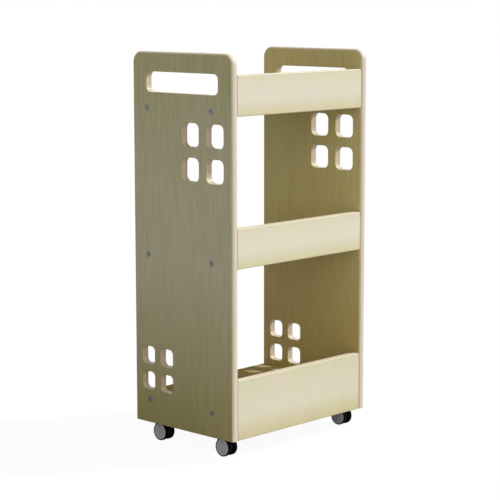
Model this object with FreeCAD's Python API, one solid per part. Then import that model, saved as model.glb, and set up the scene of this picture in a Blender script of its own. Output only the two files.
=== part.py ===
"""Book cart of plywood boards: two side panels, three shelves, three front rails, four twin casters.

Units are millimetres. +X is the cart's right, -Y its front and +Z up. The origin is on the floor,
under the middle of the cart. At rest every caster trails towards the front.
"""
import FreeCAD, Part
import math
import os

Vec = FreeCAD.Vector

# ---------------------------------------------------------------- driving dimensions: boards
cart_width = 450.0
cart_depth = 318.0
panel_height = 857.0
board_thickness = 18.0
panel_top_corner_radius = 25.0
panel_edge_round = 6.5
panel_base_edge_round = 1.0

# Undersides of the lower shelves, above the lower edge of the side panels. The top shelf hangs from
# the panels' upper edge.
bottom_shelf_rise = 46.0
middle_shelf_rise = 386.0
top_shelf_drop = 136.0
shelf_rear_set_back = 2.0
shelf_edge_round = 3.0

rail_height = 90.0
bottom_rail_height = 137.0
rail_set_back = 2.0
rail_corner_radius = 5.0
rail_edge_round = 2.0

# ---------------------------------------------------------------- driving dimensions: cut-outs
handle_length = 228.0
handle_height = 46.0
handle_corner_radius = 13.0
handle_centre_drop = 68.0
handle_edge_round = 1.5

# Each panel has two groups of four windows, two by two: large ones near its front, small ones near
# its rear.
window_edge_round = 0.5
large_window_inset = 27.5
large_window_size = 54.0
large_window_pitch = 77.0
large_window_corner_radius = 14.0
large_window_drop = 220.0
small_window_inset = 24.5
small_window_size = 41.5
small_window_pitch = 60.0
small_window_corner_radius = 11.0
small_window_rise = 129.5

# ---------------------------------------------------------------- driving dimensions: fasteners
fit_clearance = 0.05

bolt_end_inset = 46.0
bolt_diameter = 6.0
bolt_head_diameter = 13.0
bolt_head_thickness = 2.0
bolt_head_recess = 0.2
bolt_head_clearance = 0.3
bolt_hex_width = 4.0
bolt_hex_depth = 1.4
bolt_tail = 6.0

nut_diameter = 10.0
nut_length = 12.0
nut_setting = 30.0

dowel_diameter = 8.0
dowel_length = 30.0
dowel_end_gap = 0.5
shelf_dowel_spacing = 120.0
rail_dowel_pitch = 50.0
rail_shelf_dowel_count = 4
rail_shelf_dowel_pitch = 100.0

cleat_width = 45.0
cleat_thickness = 36.0
cleat_edge_round = 2.0
cleat_screw_count = 4
cleat_screw_pitch = 36.0
cleat_screw_diameter = 4.5
cleat_screw_head_diameter = 9.0
cleat_screw_head_height = 2.6
cleat_screw_bite = 12.0

# ---------------------------------------------------------------- driving dimensions: casters
caster_end_inset = 46.0
caster_panel_gap = 9.5
caster_trail = 18.0
wheel_diameter = 42.0
wheel_width = 8.5
wheel_swivel_gap = 1.0
wheel_outer_shoulder = 0.8
wheel_inner_shoulder = 1.0
wheel_rim_thickness = 4.5
wheel_web_thickness = 2.2
wheel_web_offset = 3.2
wheel_hub_radius = 6.0
wheel_hub_length = 5.6

cap_rim_margin = 2.5
cap_thickness = 1.5
cap_edge_round = 0.5
cap_skirt_thickness = 1.0
cap_skirt_gap = 0.2

core_thickness = 10.0
core_side_gap = 0.5
core_disc_radius = 17.0
core_boss_half_depth = 6.5
core_boss_floor_gap = 8.0
core_collar_radius = 8.5
core_collar_gap = 0.5

axle_diameter = 6.0
axle_end_gap = 0.3
axle_clip_radius = 5.0
axle_clip_thickness = 0.6

pin_diameter = 7.0
pin_floor_gap = 12.0
stem_diameter = 8.0
stem_shoulder_radius = 8.0
stem_shoulder_thickness = 1.2
stem_end_gap = 1.5
washer_radius = 7.8
washer_thickness = 0.8
washer_gap = 0.1

socket_wall = 1.45
socket_flange_radius = 9.0
socket_flange_thickness = 1.8
socket_length = 31.0
socket_end_wall = 1.5

grip_ring_radius = 4.4
grip_ring_width = 3.0
grip_ring_groove_depth = 0.6
grip_ring_drop = 5.0
grip_ring_split = 1.2

# ---------------------------------------------------------------- derived places
inner_x = cart_width / 2 - board_thickness
front_y = -cart_depth / 2
rear_y = cart_depth / 2
panel_base_z = wheel_diameter + wheel_swivel_gap
panel_top_z = panel_base_z + panel_height
top_shelf_rise = panel_height - top_shelf_drop
large_window_rise = panel_height - large_window_drop

rail_front_y = front_y + rail_set_back
rail_back_y = rail_front_y + board_thickness
rail_mid_y = (rail_front_y + rail_back_y) / 2
shelf_back_y = rear_y - shelf_rear_set_back
shelf_mid_y = (rail_back_y + shelf_back_y) / 2
bolt_spacing = shelf_back_y - rail_back_y - 2 * bolt_end_inset

SHELVES = {
    "bottom": panel_base_z + bottom_shelf_rise,
    "middle": panel_base_z + middle_shelf_rise,
    "top": panel_base_z + top_shelf_rise,
}
RAILS = {
    "bottom": (panel_base_z, bottom_rail_height),
    "middle": (SHELVES["middle"], rail_height),
    "top": (SHELVES["top"], rail_height),
}
SIDES = {"left": -1, "right": 1}

cleat_top_z = SHELVES["bottom"]
cleat_base_z = cleat_top_z - cleat_thickness
caster_x = inner_x - caster_panel_gap
CASTER_Y = {
    "front": rail_back_y + caster_end_inset,
    "rear": shelf_back_y - caster_end_inset,
}

wheel_radius = wheel_diameter / 2
wheel_face = core_thickness / 2 + core_side_gap
cap_radius = wheel_radius - cap_rim_margin
cap_seat = wheel_width - cap_thickness
axle_reach = wheel_face + cap_seat - axle_end_gap

socket_flange_base_z = cleat_base_z - socket_flange_thickness
shoulder_top_z = socket_flange_base_z
shoulder_base_z = shoulder_top_z - stem_shoulder_thickness
washer_base_z = shoulder_base_z - washer_thickness
collar_top_z = washer_base_z - washer_gap
collar_base_z = wheel_diameter + core_collar_gap
socket_radius = stem_diameter / 2 + fit_clearance + socket_wall
socket_top_z = cleat_base_z + socket_length
stem_top_z = socket_top_z - socket_end_wall - stem_end_gap
grip_ring_z = stem_top_z - grip_ring_drop


# ---------------------------------------------------------------- general helpers
def rounded_outline(u_min, u_max, v_min, v_max, low_radius, high_radius):
    """Closed wire in the XY plane: a rectangle with its low-V and high-V corners rounded."""
    corners = [
        (u_min, v_min, 180, low_radius),
        (u_max, v_min, 270, low_radius),
        (u_max, v_max, 0, high_radius),
        (u_min, v_max, 90, high_radius),
    ]
    edges = []
    starts = []
    for u, v, angle, radius in corners:
        cu = u + radius if u == u_min else u - radius
        cv = v + radius if v == v_min else v - radius
        if radius > 0:
            circle = Part.Circle(Vec(cu, cv, 0), Vec(0, 0, 1), radius)
            arc = Part.Edge(Part.Arc(circle, math.radians(angle), math.radians(angle + 90)))
            starts.append((arc.valueAt(arc.FirstParameter), arc.valueAt(arc.LastParameter), arc))
        else:
            starts.append((Vec(u, v, 0), Vec(u, v, 0), None))
    for index, (_, end, arc) in enumerate(starts):
        if arc is not None:
            edges.append(arc)
        next_start = starts[(index + 1) % len(starts)][0]
        edges.append(Part.makeLine(end, next_start))
    return Part.Wire(edges)


def plate(outline, thickness):
    """Solid of the outline, from z = 0 up to the thickness."""
    return Part.Face(outline).extrude(Vec(0, 0, thickness))


def stand_across_x(shape, x):
    """Turn a plate drawn as (Y, Z) so that its thickness runs along +X from the given x."""
    turn = FreeCAD.Matrix(0, 0, 1, x, 1, 0, 0, 0, 0, 1, 0, 0, 0, 0, 0, 1)
    return shape.transformed(turn)


def stand_across_y(shape, y):
    """Turn a plate drawn as (X, Z) so that its thickness runs along -Y from the given y."""
    turn = FreeCAD.Placement(Vec(0, y, 0), FreeCAD.Rotation(Vec(1, 0, 0), 90))
    return shape.transformed(turn.toMatrix())


def rod_x(radius, x_from, x_to, y, z):
    """Round bar along X."""
    return Part.makeCylinder(radius, abs(x_to - x_from), Vec(min(x_from, x_to), y, z), Vec(1, 0, 0))


def rod_y(radius, y_from, y_to, x, z):
    """Round bar along Y."""
    return Part.makeCylinder(radius, abs(y_to - y_from), Vec(x, min(y_from, y_to), z), Vec(0, 1, 0))


def rod_z(radius, z_from, z_to, x, y):
    """Round bar along Z."""
    return Part.makeCylinder(radius, z_to - z_from, Vec(x, y, z_from), Vec(0, 0, 1))


def box(x_from, x_to, y_from, y_to, z_from, z_to):
    """Box between two corners."""
    return Part.makeBox(x_to - x_from, y_to - y_from, z_to - z_from, Vec(x_from, y_from, z_from))


def spread(count, pitch):
    """Places of a row of equal steps about zero."""
    return [(index - (count - 1) / 2) * pitch for index in range(count)]


def solid_of(shape):
    """The one solid that a cut or a fillet leaves."""
    return shape.Solids[0] if len(shape.Solids) == 1 else shape


# ---------------------------------------------------------------- where the fasteners sit
def bolt_places():
    """(Y, Z) of the six connector bolts of one side panel."""
    places = []
    for shelf_z in SHELVES.values():
        for offset in spread(2, bolt_spacing):
            places.append((shelf_mid_y + offset, shelf_z + board_thickness / 2))
    return places


def shelf_dowel_places():
    """(Y, Z) of the dowels between shelf ends and one side panel."""
    places = []
    for shelf_z in SHELVES.values():
        for offset in spread(2, shelf_dowel_spacing):
            places.append((shelf_mid_y + offset, shelf_z + board_thickness / 2))
    return places


def rail_dowel_places():
    """(Y, Z) of the dowels between rail ends and one side panel."""
    places = []
    for base_z, height in RAILS.values():
        for offset in spread(2, rail_dowel_pitch):
            places.append((rail_mid_y, base_z + height / 2 + offset))
    return places


def rail_shelf_dowel_places():
    """(X, Z) of the dowels between each rail and the front edge of its shelf."""
    places = []
    for shelf_z in SHELVES.values():
        for x in spread(rail_shelf_dowel_count, rail_shelf_dowel_pitch):
            places.append((x, shelf_z + board_thickness / 2))
    return places


def cleat_screw_places(side):
    """(X, Y) of the screws that hold one caster cleat under the bottom shelf."""
    x = side * (inner_x - cleat_width / 2)
    return [(x, shelf_mid_y + offset) for offset in spread(cleat_screw_count, cleat_screw_pitch)]


# ---------------------------------------------------------------- boards
def panel_openings():
    """Handle and windows of a side panel as (centre Y, centre Z, length, height, radius, edge round)."""
    openings = [(0.0, panel_top_z - handle_centre_drop, handle_length, handle_height,
                 handle_corner_radius, handle_edge_round)]
    groups = [
        (front_y + large_window_inset, 1, large_window_rise, large_window_size,
         large_window_pitch, large_window_corner_radius),
        (rear_y - small_window_inset, -1, small_window_rise, small_window_size,
         small_window_pitch, small_window_corner_radius),
    ]
    for edge_y, inward, rise, size, pitch, radius in groups:
        middle_y = edge_y + inward * (size + pitch) / 2
        for offset_y in spread(2, pitch):
            for offset_z in spread(2, pitch):
                openings.append((middle_y + offset_y, panel_base_z + rise + offset_z, size, size,
                                 radius, window_edge_round))
    return openings


def flat_edges(shape, centre_y, centre_z, length, height, x_faces):
    """Edges of a cut-out that lie in the two faces of a panel."""
    found = []
    slack = 0.01
    for edge in shape.Edges:
        bounds = edge.BoundBox
        in_face = bounds.XLength < slack and min(abs(bounds.XMin - x) for x in x_faces) < slack
        inside_y = abs(bounds.Center.y - centre_y) <= length / 2 + slack
        inside_z = abs(bounds.Center.z - centre_z) <= height / 2 + slack
        if in_face and inside_y and inside_z:
            found.append(edge)
    return found


def side_panel(side):
    """Side panel with handle, windows and the holes of its bolts and dowels.

    Its front, top and rear edges are rounded over. The foot is cut square, with a broken arris.
    """
    x_low = inner_x if side > 0 else -cart_width / 2
    x_faces = (x_low, x_low + board_thickness)
    inner_face = side * inner_x
    outer_face = side * cart_width / 2
    outline = rounded_outline(front_y, rear_y, panel_base_z, panel_top_z, 0, panel_top_corner_radius)
    panel = stand_across_x(plate(outline, board_thickness), x_low)
    slack = 0.01
    rims = [edge for edge in panel.Edges
            if edge.BoundBox.XLength < slack and edge.BoundBox.ZMax > panel_base_z + slack]
    panel = panel.makeFillet(panel_edge_round, rims)
    foot = [edge for edge in panel.Edges if edge.BoundBox.ZMax < panel_base_z + slack]
    panel = panel.makeFillet(panel_base_edge_round, foot)
    for centre_y, centre_z, length, height, radius, edge_round in panel_openings():
        hole = rounded_outline(centre_y - length / 2, centre_y + length / 2,
                               centre_z - height / 2, centre_z + height / 2, radius, radius)
        panel = panel.cut(stand_across_x(plate(hole, board_thickness), x_low))
        panel = panel.makeFillet(edge_round, flat_edges(panel, centre_y, centre_z, length, height, x_faces))
    head_floor = outer_face - side * (bolt_head_thickness + bolt_head_recess)
    for y, z in bolt_places():
        panel = panel.cut(rod_x(bolt_diameter / 2 + fit_clearance, inner_face, outer_face, y, z))
        panel = panel.cut(rod_x(bolt_head_diameter / 2 + bolt_head_clearance, head_floor, outer_face, y, z))
    pocket_end = inner_face + side * dowel_pocket_in_panel()
    for y, z in shelf_dowel_places() + rail_dowel_places():
        panel = panel.cut(rod_x(dowel_diameter / 2 + fit_clearance, inner_face, pocket_end, y, z))
    return solid_of(panel)


def dowel_pocket_in_panel():
    """Depth of a dowel hole in a side panel, or in the back of a rail: two thirds of the board."""
    return board_thickness * 2 / 3


def dowel_pocket_in_end():
    """Depth of a dowel hole in the end or the edge of a shelf or rail."""
    return dowel_length + dowel_end_gap - dowel_pocket_in_panel()


def shelf(name):
    """Shelf board, with rounded rear edges and the holes of its bolts, nuts, dowels and screws."""
    base_z = SHELVES[name]
    top_z = base_z + board_thickness
    mid_z = base_z + board_thickness / 2
    board = box(-inner_x, inner_x, rail_back_y, shelf_back_y, base_z, top_z)
    rear = [edge for edge in board.Edges
            if edge.BoundBox.YMin > shelf_back_y - 0.01 and edge.BoundBox.XLength > 1.0]
    board = board.makeFillet(shelf_edge_round, rear)
    bolt_end = inner_x - nut_setting - bolt_tail - dowel_end_gap
    for side in SIDES.values():
        for offset in spread(2, bolt_spacing):
            y = shelf_mid_y + offset
            board = board.cut(rod_x(bolt_diameter / 2 + fit_clearance, side * bolt_end, side * inner_x,
                                    y, mid_z))
            board = board.cut(rod_z(nut_diameter / 2 + fit_clearance, base_z, mid_z + nut_length / 2,
                                    side * (inner_x - nut_setting), y))
        for offset in spread(2, shelf_dowel_spacing):
            end = side * (inner_x - dowel_pocket_in_end())
            board = board.cut(rod_x(dowel_diameter / 2 + fit_clearance, end, side * inner_x,
                                    shelf_mid_y + offset, mid_z))
        if name == "bottom":
            for x, y in cleat_screw_places(side):
                board = board.cut(rod_z(cleat_screw_diameter / 2 + fit_clearance, base_z,
                                        base_z + cleat_screw_bite + dowel_end_gap, x, y))
    for x in spread(rail_shelf_dowel_count, rail_shelf_dowel_pitch):
        board = board.cut(rod_y(dowel_diameter / 2 + fit_clearance, rail_back_y,
                                rail_back_y + dowel_pocket_in_end(), x, mid_z))
    return solid_of(board)


def front_rail(name):
    """Front rail with rounded long edges and upper corners, and the holes of its dowels.

    Its ends stay square, because they stand against the side panels.
    """
    base_z, height = RAILS[name]
    outline = rounded_outline(-inner_x, inner_x, base_z, base_z + height, 0, rail_corner_radius)
    rail = stand_across_y(plate(outline, board_thickness), rail_back_y)
    slack = 0.01
    rims = [edge for edge in rail.Edges
            if edge.BoundBox.YLength < slack
            and not (edge.BoundBox.XLength < slack and abs(edge.BoundBox.Center.x) > inner_x - slack)]
    rail = rail.makeFillet(rail_edge_round, rims)
    for side in SIDES.values():
        for offset in spread(2, rail_dowel_pitch):
            end = side * (inner_x - dowel_pocket_in_end())
            rail = rail.cut(rod_x(dowel_diameter / 2 + fit_clearance, end, side * inner_x,
                                  rail_mid_y, base_z + height / 2 + offset))
    shelf_mid_z = SHELVES[name] + board_thickness / 2
    for x in spread(rail_shelf_dowel_count, rail_shelf_dowel_pitch):
        rail = rail.cut(rod_y(dowel_diameter / 2 + fit_clearance, rail_back_y - dowel_pocket_in_panel(),
                              rail_back_y, x, shelf_mid_z))
    return solid_of(rail)


def caster_cleat(side):
    """Block under the bottom shelf that takes the two caster sockets of one side."""
    x_pair = sorted((side * inner_x, side * (inner_x - cleat_width)))
    cleat = box(x_pair[0], x_pair[1], rail_back_y, shelf_back_y - shelf_edge_round,
                cleat_base_z, cleat_top_z)
    lower = [edge for edge in cleat.Edges
             if edge.BoundBox.ZMax < cleat_base_z + 0.01
             and abs(edge.BoundBox.Center.x - side * inner_x) > 1.0
             and abs(edge.BoundBox.Center.y - rail_back_y) > 1.0]
    cleat = cleat.makeFillet(cleat_edge_round, lower)
    for y in CASTER_Y.values():
        cleat = cleat.cut(rod_z(socket_radius + fit_clearance, cleat_base_z,
                                socket_top_z + dowel_end_gap, side * caster_x, y))
    for x, y in cleat_screw_places(side):
        cleat = cleat.cut(rod_z(cleat_screw_diameter / 2 + fit_clearance, cleat_base_z, cleat_top_z, x, y))
        sink = Part.makeCone(cleat_screw_head_diameter / 2 + fit_clearance,
                             cleat_screw_diameter / 2 + fit_clearance,
                             cleat_screw_head_height, Vec(x, y, cleat_base_z), Vec(0, 0, 1))
        cleat = cleat.cut(sink)
    return solid_of(cleat)


# ---------------------------------------------------------------- fasteners
def hex_prism(width, depth, x, y, z, direction):
    """Hexagonal prism along X, for the key socket of a bolt."""
    radius = width / math.sqrt(3)
    points = []
    for step in range(7):
        angle = math.radians(60 * step)
        points.append(Vec(x, y + radius * math.cos(angle), z + radius * math.sin(angle)))
    return Part.Face(Part.makePolygon(points)).extrude(Vec(direction * depth, 0, 0))


def connector_bolt(side, y, z):
    """Flat-headed connector bolt with a hexagon socket, from the panel's outer face inwards."""
    head_face = side * (cart_width / 2 - bolt_head_recess)
    head_back = head_face - side * bolt_head_thickness
    shank_end = side * (inner_x - nut_setting - bolt_tail)
    head = rod_x(bolt_head_diameter / 2, head_face, head_back, y, z)
    rim = [edge for edge in head.Edges if abs(edge.BoundBox.Center.x - head_face) < 0.01
           and edge.BoundBox.XLength < 0.01]
    head = head.makeFillet(bolt_head_thickness / 3, rim)
    bolt = head.fuse(rod_x(bolt_diameter / 2, head_back, shank_end, y, z)).removeSplitter()
    return solid_of(bolt.cut(hex_prism(bolt_hex_width, bolt_hex_depth, head_face, y, z, -side)))


def barrel_nut(side, y, z):
    """Upright cross dowel in a shelf, with the bolt's hole through its middle."""
    x = side * (inner_x - nut_setting)
    nut = rod_z(nut_diameter / 2, z - nut_length / 2, z + nut_length / 2, x, y)
    hole = rod_x(bolt_diameter / 2 + fit_clearance, x - nut_diameter, x + nut_diameter, y, z)
    return solid_of(nut.cut(hole))


def connector_bolts(side):
    """The six bolts of one side panel."""
    return Part.makeCompound([connector_bolt(side, y, z) for y, z in bolt_places()])


def barrel_nuts():
    """The twelve cross dowels in the three shelves."""
    return Part.makeCompound([barrel_nut(side, y, z) for side in SIDES.values() for y, z in bolt_places()])


def end_dowels(places):
    """Dowels along X between the side panels and the board ends at the given (Y, Z) places."""
    dowels = []
    for side in SIDES.values():
        outer_end = side * (inner_x + dowel_pocket_in_panel() - dowel_end_gap / 2)
        inner_end = outer_end - side * dowel_length
        for y, z in places:
            dowels.append(rod_x(dowel_diameter / 2, inner_end, outer_end, y, z))
    return Part.makeCompound(dowels)


def rail_shelf_dowels():
    """Dowels along Y between the rails and the front edges of the shelves."""
    front_end = rail_back_y - dowel_pocket_in_panel() + dowel_end_gap / 2
    dowels = []
    for x, z in rail_shelf_dowel_places():
        dowels.append(rod_y(dowel_diameter / 2, front_end, front_end + dowel_length, x, z))
    return Part.makeCompound(dowels)


def cleat_screws():
    """Countersunk screws up through the caster cleats into the bottom shelf."""
    screws = []
    for side in SIDES.values():
        for x, y in cleat_screw_places(side):
            head = Part.makeCone(cleat_screw_head_diameter / 2, cleat_screw_diameter / 2,
                                 cleat_screw_head_height, Vec(x, y, cleat_base_z), Vec(0, 0, 1))
            shank = rod_z(cleat_screw_diameter / 2, cleat_base_z + cleat_screw_head_height,
                          cleat_top_z + cleat_screw_bite, x, y)
            screw = head.fuse(shank)
            slot_radius = cleat_screw_diameter / 3
            screws.append(solid_of(screw.cut(rod_z(slot_radius, cleat_base_z,
                                                   cleat_base_z + cleat_screw_head_height / 2, x, y))))
    return Part.makeCompound(screws)


# ---------------------------------------------------------------- casters
def caster_socket(x, y):
    """Flanged sleeve, closed at its upper end, in the cleat."""
    sleeve = rod_z(socket_radius, cleat_base_z, socket_top_z, x, y)
    flange = rod_z(socket_flange_radius, socket_flange_base_z, cleat_base_z, x, y)
    bore_radius = stem_diameter / 2 + fit_clearance
    bore = rod_z(bore_radius, socket_flange_base_z, socket_top_z - socket_end_wall, x, y)
    ring_room = rod_z(grip_ring_radius + fit_clearance, grip_ring_z - grip_ring_width / 2 - fit_clearance,
                      grip_ring_z + grip_ring_width / 2 + fit_clearance, x, y)
    return solid_of(sleeve.fuse(flange).removeSplitter().cut(bore).cut(ring_room))


def caster_stem(x, y):
    """Turned stem: held in the socket above its shoulder, a pivot for the caster's core below it."""
    pin = rod_z(pin_diameter / 2, pin_floor_gap, shoulder_base_z, x, y)
    tip = [edge for edge in pin.Edges if edge.BoundBox.ZMax < pin_floor_gap + 0.01]
    pin = pin.makeChamfer(pin_diameter / 10, tip)
    shoulder = rod_z(stem_shoulder_radius, shoulder_base_z, shoulder_top_z, x, y)
    stem = rod_z(stem_diameter / 2, shoulder_top_z, stem_top_z, x, y)
    crown = [edge for edge in stem.Edges if edge.BoundBox.ZMin > stem_top_z - 0.01]
    stem = stem.makeChamfer(stem_diameter / 10, crown)
    groove_radius = stem_diameter / 2 - grip_ring_groove_depth
    half_groove = grip_ring_width / 2 + fit_clearance
    groove = rod_z(stem_diameter, grip_ring_z - half_groove, grip_ring_z + half_groove, x, y)
    groove = groove.cut(rod_z(groove_radius, grip_ring_z - half_groove, grip_ring_z + half_groove, x, y))
    return solid_of(pin.fuse([shoulder, stem]).removeSplitter().cut(groove))


def grip_ring(x, y):
    """Split spring ring in the stem's groove, which holds the stem in its socket."""
    low_z = grip_ring_z - grip_ring_width / 2
    high_z = grip_ring_z + grip_ring_width / 2
    inner_radius = stem_diameter / 2 - grip_ring_groove_depth + fit_clearance
    ring = rod_z(grip_ring_radius, low_z, high_z, x, y).cut(rod_z(inner_radius, low_z, high_z, x, y))
    split = box(x - grip_ring_split / 2, x + grip_ring_split / 2, y, y + 2 * grip_ring_radius, low_z, high_z)
    return solid_of(ring.cut(split))


def thrust_washer(x, y):
    """Washer between the stem's shoulder and the caster's core."""
    ring = rod_z(washer_radius, washer_base_z, shoulder_base_z, x, y)
    return solid_of(ring.cut(rod_z(pin_diameter / 2 + fit_clearance, washer_base_z, shoulder_base_z, x, y)))


def caster_core(x, y):
    """Body of a caster: a disc between the wheels, joined to an upright boss round the stem's pin."""
    axle_y = y - caster_trail
    half = core_thickness / 2
    disc = rod_x(core_disc_radius, x - half, x + half, axle_y, wheel_radius)
    boss = box(x - half, x + half, axle_y, y + core_boss_half_depth, core_boss_floor_gap, collar_base_z)
    nose = [edge for edge in boss.Edges
            if edge.BoundBox.XLength > half
            and edge.BoundBox.Center.y > y
            and edge.BoundBox.ZMax < wheel_radius]
    boss = boss.makeFillet(core_boss_half_depth, nose)
    slope = Part.Face(Part.makePolygon([
        Vec(x - half, axle_y - core_disc_radius, wheel_radius),
        Vec(x - half, axle_y, wheel_radius),
        Vec(x - half, axle_y, collar_base_z),
        Vec(x - half, axle_y - core_disc_radius / 2, wheel_radius + core_disc_radius * math.sqrt(3) / 2),
        Vec(x - half, axle_y - core_disc_radius, wheel_radius),
    ])).extrude(Vec(core_thickness, 0, 0))
    collar = rod_z(core_collar_radius, collar_base_z, collar_top_z, x, y)
    rim = [edge for edge in collar.Edges if edge.BoundBox.ZMin > collar_top_z - 0.01]
    collar = collar.makeFillet(core_collar_gap, rim)
    core = disc.fuse([boss, slope, collar]).removeSplitter()
    core = core.cut(rod_z(pin_diameter / 2 + fit_clearance, pin_floor_gap - axle_end_gap, collar_top_z, x, y))
    axle_hole = rod_x(axle_diameter / 2 + fit_clearance / 2, x - half, x + half, axle_y, wheel_radius)
    return solid_of(core.cut(axle_hole))


def caster_axle(x, y):
    """Axle pin of a caster, across both wheels."""
    axle = rod_x(axle_diameter / 2, x - axle_reach, x + axle_reach, y - caster_trail, wheel_radius)
    ends = [edge for edge in axle.Edges if edge.BoundBox.XLength < 0.01]
    return axle.makeChamfer(axle_end_gap, ends)


def axle_clips(x, y):
    """Push-on clips that keep the wheels on the axle."""
    clips = []
    for hand in (-1, 1):
        near = x + hand * (wheel_face + wheel_hub_length + axle_end_gap)
        far = near + hand * axle_clip_thickness
        clip = rod_x(axle_clip_radius, near, far, y - caster_trail, wheel_radius)
        clips.append(solid_of(clip.cut(rod_x(axle_diameter / 2 + fit_clearance / 2, near, far,
                                             y - caster_trail, wheel_radius))))
    return Part.makeCompound(clips)


def turned_about_axle(profile, x, y, hand):
    """Solid of revolution about a caster's axle, from (distance from the inner face, radius) points."""
    points = [Vec(x + hand * (wheel_face + along), y - caster_trail, wheel_radius + radius)
              for along, radius in profile]
    face = Part.Face(Part.makePolygon(points + points[:1]))
    return face.revolve(Vec(x, y - caster_trail, wheel_radius), Vec(1, 0, 0), 360)


def caster_wheel(x, y, hand):
    """One wheel of a twin caster: tread and rim, web, hub and a seat for its cap."""
    rim_radius = wheel_radius - wheel_rim_thickness
    bore_radius = axle_diameter / 2 + fit_clearance
    web_end = wheel_web_offset + wheel_web_thickness
    wheel = turned_about_axle([
        (0, bore_radius), (0, wheel_hub_radius),
        (wheel_web_offset, wheel_hub_radius), (wheel_web_offset, rim_radius),
        (0, rim_radius), (0, wheel_radius),
        (wheel_width, wheel_radius), (wheel_width, cap_radius + fit_clearance),
        (cap_seat, cap_radius + fit_clearance), (cap_seat, rim_radius),
        (web_end, rim_radius), (web_end, wheel_hub_radius),
        (wheel_hub_length, wheel_hub_radius), (wheel_hub_length, bore_radius),
    ], x, y, hand)
    outer_x = x + hand * (wheel_face + wheel_width)
    inner_face_x = x + hand * wheel_face
    for face_x, shoulder in ((outer_x, wheel_outer_shoulder), (inner_face_x, wheel_inner_shoulder)):
        rim = [edge for edge in wheel.Edges
               if edge.BoundBox.XLength < 0.01 and abs(edge.BoundBox.Center.x - face_x) < 0.01
               and edge.BoundBox.ZLength > wheel_diameter - 0.1]
        wheel = wheel.makeFillet(shoulder, rim)
    return solid_of(wheel)


def wheel_cap(x, y, hand):
    """Plain disc that closes the outer side of a wheel, with a short skirt inside the rim."""
    skirt_radius = wheel_radius - wheel_rim_thickness - cap_skirt_gap
    skirt_base = wheel_web_offset + wheel_web_thickness + cap_skirt_gap
    cap = turned_about_axle([
        (cap_seat, 0), (cap_seat, skirt_radius - cap_skirt_thickness),
        (skirt_base, skirt_radius - cap_skirt_thickness), (skirt_base, skirt_radius),
        (cap_seat, skirt_radius), (cap_seat, cap_radius),
        (wheel_width, cap_radius), (wheel_width, 0),
    ], x, y, hand)
    face_x = x + hand * (wheel_face + wheel_width)
    rim = [edge for edge in cap.Edges
           if edge.BoundBox.XLength < 0.01 and abs(edge.BoundBox.Center.x - face_x) < 0.01
           and edge.BoundBox.ZLength > cap_radius]
    return solid_of(cap.makeFillet(cap_edge_round, rim))


def caster_nodes():
    """Every node of the four casters, by name."""
    nodes = {}
    for end, y in CASTER_Y.items():
        for side_name, side in SIDES.items():
            x = side * caster_x
            name = f"{end}_{side_name}"
            nodes[f"{name}_socket"] = caster_socket(x, y)
            nodes[f"{name}_stem"] = caster_stem(x, y)
            nodes[f"{name}_thrust_washer"] = thrust_washer(x, y)
            nodes[f"{name}_caster_core"] = caster_core(x, y)
            nodes[f"{name}_axle"] = caster_axle(x, y)
            nodes[f"{name}_axle_clips"] = axle_clips(x, y)
            for place, hand in (("outer", side), ("inner", -side)):
                nodes[f"{name}_{place}_wheel"] = caster_wheel(x, y, hand)
                nodes[f"{name}_{place}_cap"] = wheel_cap(x, y, hand)
    return nodes


def grip_rings():
    """The four spring rings on the caster stems."""
    places = [(side * caster_x, y) for side in SIDES.values() for y in CASTER_Y.values()]
    return Part.makeCompound([grip_ring(x, y) for x, y in places])


# ---------------------------------------------------------------- assembly
def all_nodes():
    """Every node of the cart, by name."""
    nodes = {}
    for side_name, side in SIDES.items():
        nodes[f"{side_name}_side_panel"] = side_panel(side)
        nodes[f"{side_name}_caster_cleat"] = caster_cleat(side)
        nodes[f"{side_name}_connector_bolts"] = connector_bolts(side)
    for name in SHELVES:
        nodes[f"{name}_shelf"] = shelf(name)
        nodes[f"{name}_front_rail"] = front_rail(name)
    nodes["barrel_nuts"] = barrel_nuts()
    nodes["shelf_end_dowels"] = end_dowels(shelf_dowel_places())
    nodes["rail_end_dowels"] = end_dowels(rail_dowel_places())
    nodes["rail_shelf_dowels"] = rail_shelf_dowels()
    nodes["cleat_screws"] = cleat_screws()
    nodes["stem_grip_rings"] = grip_rings()
    nodes.update(caster_nodes())
    return nodes


os.makedirs("parts", exist_ok=True)
for node_name, node_shape in all_nodes().items():
    if not node_shape.isValid():
        raise ValueError(f"{node_name} is not a valid shape")
    node_shape.exportStep(f"parts/{node_name}.step")
    print(node_name, len(node_shape.Solids), round(node_shape.Volume, 1))
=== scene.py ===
"""Looks of a plywood book cart: veneered boards, zinc bolts and twin-wheel casters."""
import logging
import math
from dataclasses import dataclass
from enum import Enum

import bmesh
import bpy
import numpy as np
from mathutils import Matrix, Vector


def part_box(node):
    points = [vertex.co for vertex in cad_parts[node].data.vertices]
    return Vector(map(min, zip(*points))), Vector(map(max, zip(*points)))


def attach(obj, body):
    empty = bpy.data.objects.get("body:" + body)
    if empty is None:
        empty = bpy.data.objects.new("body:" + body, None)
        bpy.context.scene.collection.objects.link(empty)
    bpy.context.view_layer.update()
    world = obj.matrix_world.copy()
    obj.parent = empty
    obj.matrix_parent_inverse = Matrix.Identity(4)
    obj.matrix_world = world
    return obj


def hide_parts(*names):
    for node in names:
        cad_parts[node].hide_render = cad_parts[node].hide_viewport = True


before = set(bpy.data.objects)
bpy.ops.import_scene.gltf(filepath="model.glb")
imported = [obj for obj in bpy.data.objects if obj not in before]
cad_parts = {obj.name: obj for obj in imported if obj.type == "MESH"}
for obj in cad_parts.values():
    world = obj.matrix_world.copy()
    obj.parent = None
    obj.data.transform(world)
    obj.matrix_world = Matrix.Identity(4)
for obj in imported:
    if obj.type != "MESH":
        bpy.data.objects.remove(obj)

LOG = logging.getLogger("book_cart")
MM = 0.001
WHITE = (1.0, 1.0, 1.0, 1.0)
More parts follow.
